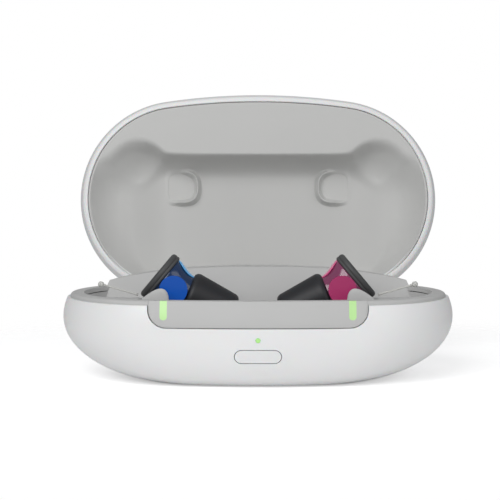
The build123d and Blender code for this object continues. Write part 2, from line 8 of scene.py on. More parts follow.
import bpy
import numpy as np
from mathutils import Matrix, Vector


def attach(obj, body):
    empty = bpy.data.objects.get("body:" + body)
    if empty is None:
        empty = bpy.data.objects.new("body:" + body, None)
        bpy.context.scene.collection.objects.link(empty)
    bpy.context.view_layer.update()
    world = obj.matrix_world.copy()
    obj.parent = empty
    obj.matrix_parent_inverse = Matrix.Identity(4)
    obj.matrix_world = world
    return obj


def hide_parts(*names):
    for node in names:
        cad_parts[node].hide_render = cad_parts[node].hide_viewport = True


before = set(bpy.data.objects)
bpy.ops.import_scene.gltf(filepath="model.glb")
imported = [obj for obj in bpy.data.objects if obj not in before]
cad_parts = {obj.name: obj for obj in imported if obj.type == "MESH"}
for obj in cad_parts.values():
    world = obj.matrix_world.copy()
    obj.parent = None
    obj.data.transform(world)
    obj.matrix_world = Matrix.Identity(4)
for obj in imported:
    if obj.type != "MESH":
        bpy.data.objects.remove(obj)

LOG = logging.getLogger("charger")
MM = 0.001
# Sockets of a Mix node that mixes colours.
COLOUR_A, COLOUR_B, COLOUR_OUT = 6, 7, 2
# Share of the points of an oval's quarter that lie on its round end.
END_SHARE = 0.6
SIDEWAYS = np.array([0.0, 1.0, 0.0])
UPWARDS = np.array([0.0, 0.0, 1.0])


def linear(code: str) -> tuple[float, float, float, float]:
    """Turn an sRGB hex code such as "#eaeaea" into linear red, green, blue and an alpha of one."""
    parts = [int(code[i : i + 2], 16) / 255 for i in (1, 3, 5)]
    return tuple(c / 12.92 if c <= 0.04045 else ((c + 0.055) / 1.055) ** 2.4 for c in parts) + (1.0,)


class Texture(Enum):
    """How a surface breaks up the light."""

    FINE = "fine"
    MATT = "matt"


@dataclass(frozen=True)
class Finish:
    """One real material and its surface.

    Attributes:
        name: real material and surface.
        colour: sRGB hex code.
        shade: second sRGB hex code, for slow variation over the surface.
        rough: mean roughness.
        grain: size of the surface texture, in mm.
        bump: height of the texture, in mm.
        metal: metallic share.
        coat: clear coat weight.
        clear: transmitted share.
        under: subsurface weight.
        reach: subsurface reach, in mm.
        glow: emission strength.
        texture: kind of surface texture.
    """

    name: str
    colour: str
    shade: str
    rough: float = 0.4
    grain: float = 0.12
    bump: float = 0.004
    metal: float = 0.0
    coat: float = 0.0
    clear: float = 0.0
    under: float = 0.0
    reach: float = 1.0
    glow: float = 0.0
    texture: Texture = Texture.FINE


SHELL = Finish(
    "white_abs_satin", "#f1f1f1", "#eeeeee", rough=0.42, grain=0.15, bump=0.0025, under=0.12, reach=2.0
)
BUTTON = Finish(
    "white_abs_fine_satin", "#efefef", "#ececec", rough=0.38, grain=0.1, bump=0.002, under=0.1, reach=2.0
)
TRAY = Finish(
    "grey_abs_matt", "#c4c4c3", "#c0c0bf", rough=0.6, grain=0.22, bump=0.006, texture=Texture.MATT
)
LINER = Finish(
    "grey_abs_liner_matt", "#cdcdcb", "#c9c9c7", rough=0.6, grain=0.22, bump=0.006, texture=Texture.MATT
)
FOOT = Finish(
    "grey_silicone_foot", "#8c8c8c", "#858585", rough=0.75, grain=0.3, bump=0.006, texture=Texture.MATT
)
LENS = Finish("frosted_lens_lit_green", "#bdeb9c", "#c4efa6", rough=0.35, grain=0.3, bump=0.001, glow=0.04)
DOT = Finish("status_lens_lit_green", "#a9e384", "#b3e890", rough=0.3, grain=0.3, bump=0.001, glow=0.16)
STEEL = Finish("turned_steel", "#b9b9bc", "#a8a8ab", rough=0.28, grain=0.08, metal=1.0)
GOLD = Finish("plated_gold_contact", "#d9b15c", "#c9a04c", rough=0.22, grain=0.08, metal=1.0)
BOARD = Finish("solder_mask_green", "#1d5b35", "#174c2c", rough=0.35, grain=0.5, bump=0.002, coat=0.3)
CELL = Finish("cell_foil", "#c4c4c8", "#b2b2b8", rough=0.35, grain=0.6, metal=0.9)
PLATE = Finish(
    "dark_nylon_faceplate", "#4a4a4a", "#404142", rough=0.55, grain=0.18, bump=0.005, texture=Texture.MATT
)
CAP = Finish("dark_nylon_polished", "#454648", "#3d3e40", rough=0.3, grain=0.3, bump=0.002)
SLEEVE = Finish(
    "charcoal_silicone_sleeve", "#1f2024", "#1a1b1f", rough=0.5, grain=0.25, under=0.15, reach=0.8
)
LINE = Finish("clear_nylon_line", "#e6e6e2", "#dededa", rough=0.25, grain=0.3, bump=0.001, clear=0.3)


@dataclass(frozen=True)
class Ear:
    """Finishes of an aid that differ by ear.

    Attributes:
        body: clear body.
        cover: round cover in the body's flank.
        highlight: painted highlight on the upper edge of the clear wall.
    """

    body: Finish
    cover: Finish
    seam: Finish


ACRYLIC_L = Finish(
    "clear_navy_acrylic", "#143a6a", "#0f2d52", rough=0.16, grain=0.8, bump=0.003, coat=0.5, clear=0.25
)
ACRYLIC_R = replace(ACRYLIC_L, name="clear_rose_acrylic", colour="#9c4a70", shade="#86406a")
COVER_L = Finish("blue_coil_cover", "#0560d0", "#0450b0", rough=0.25, grain=0.4, bump=0.002, coat=0.4)
COVER_R = replace(COVER_L, name="rose_coil_cover", colour="#c43c78", shade="#a83266")
# Painted highlights: light, glowing strips that stand for the clear wall's upper edge catching the light.
HIGHLIGHT_L = Finish(
    "painted_highlight_sky_blue", "#5fb2ea", "#4a9ddb", rough=0.12, grain=0.5, bump=0.002, coat=0.6, glow=0.12
)
HIGHLIGHT_R = replace(HIGHLIGHT_L, name="painted_highlight_pink", colour="#e05a92", shade="#cf4a82", glow=0.1)
EARS = {"left": Ear(ACRYLIC_L, COVER_L, HIGHLIGHT_L), "right": Ear(ACRYLIC_R, COVER_R, HIGHLIGHT_R)}


def node_finishes() -> dict[str, Finish]:
    """Choose the finish of every CAD node.

    Returns:
        Finishes by node name.
    """
    table = {
        "base_shell": SHELL, "lid_shell": SHELL, "button_cap": BUTTON, "rubber_foot": FOOT,
        "inner_tray": TRAY, "lid_liner": LINER, "button_switch": TRAY,
        "status_light": DOT, "status_led": DOT,
        "main_board": BOARD, "button_board": BOARD, "battery_cell": CELL, "usb_socket": STEEL,
    }
    for side, ear in EARS.items():
        pair = {
            "cradle": TRAY, "hinge_arm": TRAY, "hinge_pin": STEEL,
            "base_magnet": STEEL, "lid_magnet": STEEL,
            "light_bar": LENS, "charge_pins": GOLD,
            "aid_faceplate": PLATE, "aid_body": ear.body, "aid_disc": ear.cover,
            "aid_sleeve": SLEEVE, "aid_pull_line": LINE, "aid_knob": LINE,
        }
        table |= {f"{side}_{part}": finish for part, finish in pair.items()}
    table |= {f"case_screw_{number}": STEEL for number in range(1, 5)}
    return table


def add_node(tree: bpy.types.NodeTree, kind: str, *first: object, **named: object) -> bpy.types.Node:
    """Add a node and set its inputs to constants or links.

    Args:
        tree: node tree.
        kind: node type.
        first: values of the first inputs, in order.
        named: values by input name, with underscores for spaces.

    Returns:
        The new node.
    """
    node = tree.nodes.new(kind)
    sockets = list(node.inputs)[: len(first)] + [node.inputs[name.replace("_", " ")] for name in named]
    for socket, value in zip(sockets, (*first, *named.values())):
        if isinstance(value, bpy.types.NodeSocket):
            tree.links.new(value, socket)
        else:
            socket.default_value = value
    return node


class Paintbox:
    """Makes each finish once, as nodes.

    Attributes:
        drift: size of the slow colour variation, in mm.
        cell_share: size of the matt texture's cells over its grain.
        relief: strength of the bump.
        spread: share by which the roughness varies about its mean.
        coat_rough: roughness of the clear coats.
    """

    drift = 14.0
    cell_share = 1.6
    relief = 0.6
    spread = 0.08
    coat_rough = 0.08

    def __init__(self) -> None:
        self.made: dict[str, bpy.types.Material] = {}

    @staticmethod
    def _noise(
        tree: bpy.types.NodeTree, place: bpy.types.NodeSocket, size: float, detail: float
    ) -> bpy.types.NodeSocket:
        """Add a noise of a size in mm with a number of finer layers, and return its output."""
        noise = add_node(tree, "ShaderNodeTexNoise", Vector=place, Scale=1 / (size * MM), Detail=detail)
        return noise.outputs["Fac"]

    def get(self, finish: Finish) -> bpy.types.Material:
        """Return the material of a finish.

        Args:
            finish: the finish.

        Returns:
            The Blender material, made at the first call.
        """
        if finish.name in self.made:
            return self.made[finish.name]
        material = bpy.data.materials.new(finish.name)
        material.use_nodes = True
        tree = material.node_tree
        tree.nodes.clear()
        place = tree.nodes.new("ShaderNodeTexCoord").outputs["Object"]
        mix = tree.nodes.new("ShaderNodeMix")
        mix.data_type = "RGBA"
        tree.links.new(self._noise(tree, place, self.drift, 2.0), mix.inputs["Factor"])
        mix.inputs[COLOUR_A].default_value = linear(finish.colour)
        mix.inputs[COLOUR_B].default_value = linear(finish.shade)
        colour = mix.outputs[COLOUR_OUT]
        fine = self._noise(tree, place, finish.grain, 3.0)
        height = fine
        if finish.texture is Texture.MATT:
            scale = 1 / (finish.grain * self.cell_share * MM)
            cells = add_node(tree, "ShaderNodeTexVoronoi", Vector=place, Scale=scale)
            height = add_node(tree, "ShaderNodeMath", fine, cells.outputs["Distance"]).outputs[0]
        bump = add_node(
            tree, "ShaderNodeBump", Height=height, Distance=finish.bump * MM, Strength=self.relief
        )
        wear = add_node(
            tree, "ShaderNodeMapRange",
            Value=fine, To_Min=finish.rough * (1 - self.spread), To_Max=finish.rough * (1 + self.spread),
        )
        surface = add_node(
            tree, "ShaderNodeBsdfPrincipled",
            Base_Color=colour, Roughness=wear.outputs["Result"], Normal=bump.outputs["Normal"],
            Metallic=finish.metal, Coat_Weight=finish.coat, Coat_Roughness=self.coat_rough,
            Transmission_Weight=finish.clear,
            Subsurface_Weight=finish.under, Subsurface_Scale=finish.reach * MM,
            Emission_Color=colour, Emission_Strength=finish.glow,
        )
        add_node(tree, "ShaderNodeOutputMaterial", surface.outputs[0])
        self.made[finish.name] = material
        return material

    def paint(self, piece: bpy.types.Object, finish: Finish) -> None:
        """Give an object one finish.

        Args:
            piece: mesh object.
            finish: the finish.
        """
        piece.data.materials.clear()
        piece.data.materials.append(self.get(finish))
        LOG.info("%s: %s", piece.name, finish.name)


def smooth(low: float, high: float, value: np.ndarray) -> np.ndarray:
    """Ease from 0 at low to 1 at high, as 3t^2 - 2t^3 of the clipped share t; low may be above high."""
    share = np.clip((value - low) / (high - low), 0.0, 1.0)
    return share * share * (3 - 2 * share)


def between(first: float, second: float, share: np.ndarray) -> np.ndarray:
    """Go straight from the first value at share 0 to the second at share 1."""
    return first + (second - first) * share


def soft_max(first: np.ndarray, second: np.ndarray, blend: float) -> np.ndarray:
    """Take the larger of two fields, as half of: their sum + root(difference^2 + blend^2)."""
    return 0.5 * (first + second + np.sqrt((first - second) ** 2 + blend**2))


def arcs(
    width: np.ndarray, depth: np.ndarray, radius: np.ndarray
) -> tuple[np.ndarray, np.ndarray, np.ndarray]:
    """Fit an oval's long arc to its round end.

    Args:
        width: half length along X.
        depth: half length along Y.
        radius: radius of the round end.

    Returns:
        X of the end arc's middle, radius of the long arc, and angle where the two arcs meet.
    """
    reach = width - radius
    far = (reach**2 + depth**2 - radius**2) / (2 * (depth - radius))
    return reach, far, np.arctan2(far - depth, reach)


def oval(half_width: np.ndarray, half_depth: np.ndarray, end_radius: np.ndarray, count: int) -> np.ndarray:
    """Work out ovals of four tangent arcs, one for each entry of the sizes.

    Each quarter is a round end arc about a point on the X axis, then a long shallow arc about
    a point on the Y axis; the share of points on the round arc is fixed, and quarters mirror.

    Args:
        half_width: half lengths along X.
        half_depth: half lengths along Y.
        end_radius: radii of the round ends.
        count: points around, a multiple of four.

    Returns:
        Array of shape (sizes, count, 2).
    """
    sizes = (np.atleast_1d(np.asarray(size, float)) for size in (half_width, half_depth, end_radius))
    width, depth, radius = (size[:, None] for size in sizes)
    reach, far, joint = arcs(width, depth, radius)
    turn = np.arange(count)[None, :] * 4 / count
    quarter = np.floor(turn).astype(int)
    share = turn - quarter
    share = np.where(quarter % 2 == 1, 1 - share, share)
    at_end = share < END_SHARE
    long_share = (share - END_SHARE) / (1 - END_SHARE)
    angle = np.where(at_end, joint * share / END_SHARE, joint + (math.pi / 2 - joint) * long_share)
    x = np.where(at_end, reach + radius * np.cos(angle), far * np.cos(angle))
    y = np.where(at_end, radius * np.sin(angle), depth - far + far * np.sin(angle))
    sign_x = np.array([1, -1, -1, 1])[quarter]
    sign_y = np.array([1, 1, -1, -1])[quarter]
    return np.stack([x * sign_x, y * sign_y], axis=-1)


def carried(
    middle: np.ndarray, up: np.ndarray, half: np.ndarray, power: float, around: int
) -> np.ndarray:
    """Carry a superellipse along a path, with its first axis along Y.

    Each section is middle + Y * a * |cos|^(2/p) + up * b * |sin|^(2/p), with the signs kept.

    Args:
        middle: section middles, (rings, 3).
        up: second section axis, (3,) or (rings, 3).
        half: half sizes along the two axes, (rings, 2).
        power: superellipse power p; 2 is an ellipse.
        around: points around.

    Returns:
        Array (rings, around, 3).
    """
    turn = np.linspace(0, 2 * math.pi, around, endpoint=False)
    flat = np.sign(np.cos(turn)) * np.abs(np.cos(turn)) ** (2 / power)
    tall = np.sign(np.sin(turn)) * np.abs(np.sin(turn)) ** (2 / power)
    up = np.broadcast_to(up, middle.shape)
    return (
        middle[:, None, :]
        + SIDEWAYS * (half[:, :1] * flat[None, :])[..., None]
        + up[:, None, :] * (half[:, 1:] * tall[None, :])[..., None]
    )


def skin(name: str, grid: np.ndarray, body: str) -> bpy.types.Object:
    """Make a closed piece from rings of points, with a single point at each end.

    Args:
        name: object name.
        grid: array (rings, around, 3) in mm; the first and last rings close at their middles.
        body: body that the piece rides on.

    Returns:
        The object, shaded smooth, with its faces outwards.
    """
    rings, around, _ = grid.shape
    ends = np.stack([grid[0].mean(axis=0), grid[-1].mean(axis=0)])
    points = np.concatenate([grid.reshape(-1, 3), ends]) * MM
    step = np.arange(around)
    after = (step + 1) % around
    near = np.arange(rings - 1)[:, None] * around
    next_ring = near + around
    quads = np.stack([near + step, near + after, next_ring + after, next_ring + step], -1).reshape(-1, 4)
    last_ring = (rings - 1) * around
    first_end = np.full(around, rings * around)
    first = np.stack([first_end, after, step], -1)
    last = np.stack([first_end + 1, last_ring + step, last_ring + after], -1)
    triangles = np.concatenate([quads[:, [0, 1, 2]], quads[:, [0, 2, 3]], first, last])
    corner = points[triangles]
    volume = np.einsum("ij,ij->i", corner[:, 0], np.cross(corner[:, 1], corner[:, 2])).sum()
    faces = quads.tolist() + first.tolist() + last.tolist()
    if volume < 0:
        faces = [face[::-1] for face in faces]
    mesh = bpy.data.meshes.new(name)
    mesh.from_pydata(points.tolist(), [], faces)
    mesh.polygons.foreach_set("use_smooth", [True] * len(faces))
    mesh.update()
    piece = bpy.data.objects.new(name, mesh)
    bpy.context.scene.collection.objects.link(piece)
    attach(piece, body)
    return piece


@dataclass
class Case:
    """Sizes that the sub-assemblies share, in mm.

    Attributes:
        half_width: rim half length along X.
        half_depth: rim half length along Y.
        roundness: end radius as a share of the half depth.
        swell: how far the body stands out past its rim.
        rim: height of the base's rim.
        lid_rim: height of the closed lid's rim.
        hinge_y: place of the hinge line.
        hinge_z: height of the hinge line.
        open_angle: angle of the open lid, in degrees.
    """

    half_width: float = 43.65
    half_depth: float = 25.4
    roundness: float = 0.945
    swell: float = 1.35
    rim: float = 19.7
    lid_rim: float = 20.0
    hinge_y: float = 24.6
    hinge_z: float = 16.2
    open_angle: float = 97.0

    @property
    def end_radius(self) -> float:
        """Radius of the rim's round ends."""
        return self.half_depth * self.roundness

    def opened(self, grid: np.ndarray) -> np.ndarray:
        """Turn points of the closed lid about the hinge line to the open pose.

        Args:
            grid: points in mm, last axis x, y, z.

        Returns:
            Turned points: y and z rotated about the hinge line by minus the open angle.
        """
        angle = -math.radians(self.open_angle)
        y, z = grid[..., 1] - self.hinge_y, grid[..., 2] - self.hinge_z
        turned_y = self.hinge_y + y * math.cos(angle) - z * math.sin(angle)
        turned_z = self.hinge_z + y * math.sin(angle) + z * math.cos(angle)
        return np.stack([grid[..., 0], turned_y, turned_z], axis=-1)

    def inset(self, x: np.ndarray, y: np.ndarray) -> np.ndarray:
        """Measure inwards from the rim outline, off its round end or its long arc.

        Args:
            x: X values.
            y: Y values.

        Returns:
            Distances, positive inside.
        """
        radius = self.end_radius
        reach, far, joint = arcs(self.half_width, self.half_depth, radius)
        x, y = np.abs(x), np.abs(y)
        at_end = (x > reach) & (np.arctan2(y, x - reach) < joint)
        from_end = radius - np.hypot(x - reach, y)
        from_long = far - np.hypot(x, y + far - self.half_depth)
        return np.where(at_end, from_end, from_long)

    def rings(self, width: np.ndarray, depth: np.ndarray, height: np.ndarray, around: int) -> np.ndarray:
        """Stack ovals at their heights; each end radius is a share of the half depth."""
        flat = oval(width, depth, depth * self.roundness, around)
        level = np.broadcast_to(height[:, None, None], flat.shape[:2] + (1,))
        return np.concatenate([flat, level], axis=-1)


@dataclass
class Hollow:
    """Hollow of the lid's liner: deep at the hinge side, with a flat front part, in mm.

    Attributes:
        depth: full depth.
        plateau: how far the flat front part reaches, as a Y value.
        bend_x: X of the point that a round end turns about.
        end_roll, rear_roll: width of the rounding at the round ends and at the hinge side.
        end_start, rear_start: where it starts there, inwards from the rim.
        roll_turn, start_turn: directions of the rim, in degrees, between which these change.
        roll_power: power of the rounding; 2 is a parabola.
        bay_x, bay_y: middle of each oval bay of the flat part's edge.
        bay_half_width, bay_half_depth: half sizes of a bay.
        bay_reach: distance from a bay's edge that its middle counts as.
        bay_blend: rounding where a bay meets the straight edge.
        slope_lead: how far the slope starts in front of that edge.
        slope_run, bay_run: width of the slope behind it, and how much wider it is in the bays.
        bay_range: X values between which it gets wider.
        slope_power: power of the slope's rounding.
        foot_share, foot_power: share of the slope that its foot takes, and the foot's power.
        end_loss, end_range: share of the depth lost at the ends, and X values between which it is.
    """

    depth: float = 9.2
    plateau: float = -10.9
    bend_x: float = 19.6
    end_roll: float = 9.5
    rear_roll: float = 3.2
    end_start: float = 1.5
    rear_start: float = 0.9
    roll_turn: tuple[float, float] = (15.0, 75.0)
    start_turn: tuple[float, float] = (8.0, 48.0)
    roll_power: float = 2.2
    bay_x: float = 30.6
    bay_y: float = -5.6
    bay_half_width: float = 8.2
    bay_half_depth: float = 9.3
    bay_reach: float = 7.8
    bay_blend: float = 1.2
    slope_lead: float = 0.4
    slope_run: float = 5.6
    bay_run: float = 5.0
    bay_range: tuple[float, float] = (23.0, 31.0)
    slope_power: float = 2.4
    foot_share: float = 0.3
    foot_power: float = 0.6
    end_loss: float = 0.32
    end_range: tuple[float, float] = (23.0, 35.0)

    def at(self, x: np.ndarray, y: np.ndarray, inset: np.ndarray) -> np.ndarray:
        """Work out the liner's depth at points of the rim plane.

        It is the full depth times two eases: one rises from the rim, slowly at the round ends
        and steeply at the hinge side, and one rises past the edge of the flat front part, which
        is a straight line joined by a soft maximum to an oval bay at each end.

        Args:
            x: X values.
            y: Y values.
            inset: distance inwards from the rim.

        Returns:
            Depths in mm.
        """
        out = np.abs(x)
        # Direction that the rim faces, in degrees: 0 at the ends and 90 at the hinge side.
        facing = np.degrees(np.arctan2(y, np.maximum(out - self.bend_x, 0.5)))
        roll = between(self.end_roll, self.rear_roll, smooth(*self.roll_turn, facing))
        start = between(self.end_start, self.rear_start, smooth(*self.start_turn, facing))
        side = 1 - (1 - np.clip((inset - start) / roll, 0, 1)) ** self.roll_power
        far_x = (out - self.bay_x) / self.bay_half_width
        far_y = (y - self.bay_y) / self.bay_half_depth
        bay = self.bay_reach * (1 - np.hypot(far_x, far_y))
        edge = soft_max(y - self.plateau, bay, self.bay_blend) + self.slope_lead
        run = self.slope_run + self.bay_run * smooth(*self.bay_range, out)
        share = np.clip(edge / run, 0, 1)
        foot = smooth(0, self.foot_share, share) ** self.foot_power
        front = (1 - (1 - share) ** self.slope_power) * foot
        shallow = 1 - self.end_loss * smooth(*self.end_range, out)
        return self.depth * shallow * side * front


@dataclass
class Cup:
    """One moulded cup of the liner, which takes the top of an aid, in mm.

    Attributes:
        middle_x: X of the cup's middle, without its side's sign.
        middle_y: Y of the cup's middle.
        radius: half width to the top of the wall.
        wall: height of the wall over the liner.
        wall_width: width of the wall, as a share of the radius.
        outer_wall: share of the wall that is left at the outer side.
        skirt: height of the skirt at the wall's foot.
        dish: depth of the dish inside.
        sink: how far the skirt's edge goes into the liner.
        thick: how far the hidden back lies under the liner's face.
        reach: radius of the skirt's edge, as a share of the radius.
        around: points around.
    """

    middle_x: float = 19.3
    middle_y: float = -3.5
    radius: float = 3.9
    wall: float = 1.5
    wall_width: float = 0.13
    outer_wall: float = 0.05
    skirt: float = 0.45
    dish: float = 0.7
    sink: float = 0.12
    thick: float = 1.4
    reach: float = 1.3
    around: int = 128

    def outline(self, inward: np.ndarray, along: np.ndarray) -> np.ndarray:
        """Work out the radius in a direction: a rounded square's, with a flatter outer side."""
        power = 2.6 + 1.4 * smooth(0.2, -0.8, inward)
        return self.radius * (np.abs(inward) ** power + np.abs(along) ** power) ** (-1 / power)

    def lift(self, sizes: np.ndarray, inward: np.ndarray, along: np.ndarray) -> np.ndarray:
        """Work out the height over the liner: a round ridge with a skirt outside and a dish inside.

        Args:
            sizes: distances from the middle, as shares of the radius.
            inward: cosine of the direction.
            along: sine of the direction.

        Returns:
            Heights in mm.
        """
        full = smooth(-0.6, 0.45, inward + 0.35 * along)
        ridge = between(self.outer_wall, 1.0, full)
        wall = np.exp(-(((sizes - 1.0) / self.wall_width) ** 2)) * ridge * self.wall
        skirt = self.skirt * smooth(self.reach, 1.0, sizes) * ridge
        dish = self.dish * smooth(1.0, 0.62, sizes)
        return wall + skirt - dish - self.sink * smooth(self.reach - 0.12, self.reach, sizes)


@dataclass
class Lid:
    """White lid shell and its grey liner, built closed and then turned open, in mm.

    Attributes:
        case: shared sizes.
        hollow: shape of the liner's hollow.
        rise: height of the widest level over the lid's rim.
        tall: height from the widest level to the top.
        end_drop: how far the ends come in at the top.
        side_drop: how far the sides come in at the top.
        flat_angle: angle of the outside's quarter ellipse from which the top is flat, in degrees.
        flat_blend: rounding where it turns flat, as a share of its height.
        drawn_end: share of the part under the widest level that is drawn before the lip.
        wall: shell wall.
        lip: width of the white lip outside the liner.
        lip_round: height of the lip's round edge.
        lip_out: how far the round edge starts outside the rim.
        seat: height of the liner's seat over the lid's rim.
        gap: groove between lip and liner.
        liner_lift: height of the liner's flat part over the lid's rim.
        liner_round: radius of the liner's outer edge.
        liner_back: height of the liner's back over the lid's rim, where the hollow is flat.
        around: points around the rim.
    """

    case: Case
    hollow: Hollow
    rise: float = 5.5
    tall: float = 7.5
    end_drop: float = 25.0
    side_drop: float = 12.5
    flat_angle: float = 76.0
    flat_blend: float = 0.03
    drawn_end: float = 0.83
    wall: float = 1.6
    lip: float = 0.9
    lip_round: float = 0.9
    lip_out: float = 0.41
    seat: float = 1.0
    gap: float = 0.16
    liner_lift: float = 0.03
    liner_round: float = 0.4
    liner_back: float = 0.95
    around: int = 320

    def shell(self) -> bpy.types.Object:
        """Build the shell.

        The outside is a quarter ellipse from the top to the widest level and a parabola down to
        the lip, which is a quarter round; the inside repeats it one wall further in.

        Returns:
            The shell piece.
        """
        case = self.case
        steepest = math.radians(self.flat_angle)
        core = np.linspace(0.04, 0.96, 8)
        turn = np.radians(np.linspace(90, 0, 34))
        share = 1 - np.cos(turn)
        steep = np.sin(turn) / math.sin(steepest)
        level = steep + 1 - soft_max(steep, 1.0, self.flat_blend)
        drawn = np.linspace(0.08, self.drawn_end, 9)
        corner = np.linspace(0, math.pi / 2, 10)
        inner = np.linspace(0, steepest, 14)
        back = 1 - np.cos(inner)
        sizes = []
        for half, drop in ((case.half_width, self.end_drop), (case.half_depth, self.side_drop)):
            full = half + case.swell
            inside = full - self.wall
            sizes.append(np.concatenate([
                core * (full - drop), full - drop * share,
                full - case.swell * drawn**2,
                half - self.lip + (self.lip + self.lip_out) * np.cos(corner),
                np.array([half - self.lip, half - self.wall]),
                inside - drop * back, core[::-1] * (inside - drop * back[-1]),
            ]))
        widest = case.lid_rim + self.rise
        hidden = self.tall - self.wall
        height = np.concatenate([
            np.full(core.shape, widest + self.tall * level[0]), widest + self.tall * level,
            widest - self.rise * drawn,
            case.lid_rim + self.lip_round * (1 - np.sin(corner)),
            np.full(2, case.lid_rim + self.seat),
            widest + hidden * np.sin(inner) / math.sin(steepest), np.full(core.shape, widest + hidden),
        ])
        return skin("lid_shell_skin", case.opened(case.rings(*sizes, height, self.around)), "lid")

    def liner(self) -> bpy.types.Object:
        """Build the liner.

        Rings run from the middle out to the rim on the face, round the edge, and back to the
        middle one wall deeper; each ring is the rim oval scaled towards the middle.

        Returns:
            The liner piece.
        """
        case = self.case
        edge = self.lip + self.gap
        rim = oval(case.half_width - edge, case.half_depth - edge, case.end_radius - edge, self.around)
        face = np.concatenate([np.linspace(0.008, 0.9, 92), np.linspace(0.905, 1.0, 24)])
        back = np.linspace(1.0, 0.03, 34)
        flat = rim * np.concatenate([face, back])[:, None, None]
        inset = case.inset(flat[..., 0], flat[..., 1])
        depth = self.hollow.at(flat[..., 0], flat[..., 1], inset)
        away = np.clip(1 - (inset - edge) / self.liner_round, 0, 1)
        rounding = self.liner_round * (1 - np.sqrt(1 - away**2))
        z = case.lid_rim + self.liner_lift + depth + rounding
        z[len(face):] = case.lid_rim + self.liner_back + depth[len(face):]
        grid = np.concatenate([flat, z[..., None]], axis=-1)
        return skin("lid_liner_skin", case.opened(grid), "lid")

    def cup(self, name: str, side: int, cup: Cup) -> bpy.types.Object:
        """Build one moulded cup, as rings about its middle that follow the liner's face.

        Args:
            name: object name.
            side: -1 for the left cup, 1 for the right one.
            cup: sizes of the cup.

        Returns:
            The cup piece.
        """
        case = self.case
        turn = np.linspace(0, 2 * math.pi, cup.around, endpoint=False)
        inward, along = np.cos(turn), np.sin(turn)
        face = np.concatenate([np.linspace(0.05, 0.8, 12), np.linspace(0.82, cup.reach, 30)])
        sizes = np.concatenate([face, np.linspace(cup.reach, 0.05, 8)])[:, None]
        radius = sizes * cup.outline(inward, along)
        x = side * (cup.middle_x - radius * inward)
        y = cup.middle_y + radius * along
        floor = case.lid_rim + self.liner_lift + self.hollow.at(x, y, case.inset(x, y))
        z = floor - cup.lift(sizes, inward, along)
        z[len(face):] = floor[len(face):] + cup.thick
        return skin(name, case.opened(np.stack([x, y, z], axis=-1)), "lid")


@dataclass(frozen=True)
class Axis:
    """A line that sections are carried along.

    Attributes:
        at: start point.
        out: direction.
        up: direction of the sections' second axis.
    """

    at: np.ndarray
    out: np.ndarray
    up: np.ndarray

    @classmethod
    def falling(cls, at: np.ndarray, angle: float) -> "Axis":
        """Make an axis in a plane of X and Z that falls by an angle in degrees below X."""
        cos, sin = math.cos(math.radians(angle)), math.sin(math.radians(angle))
        return cls(at, np.array([cos, 0.0, -sin]), np.array([sin, 0.0, cos]))


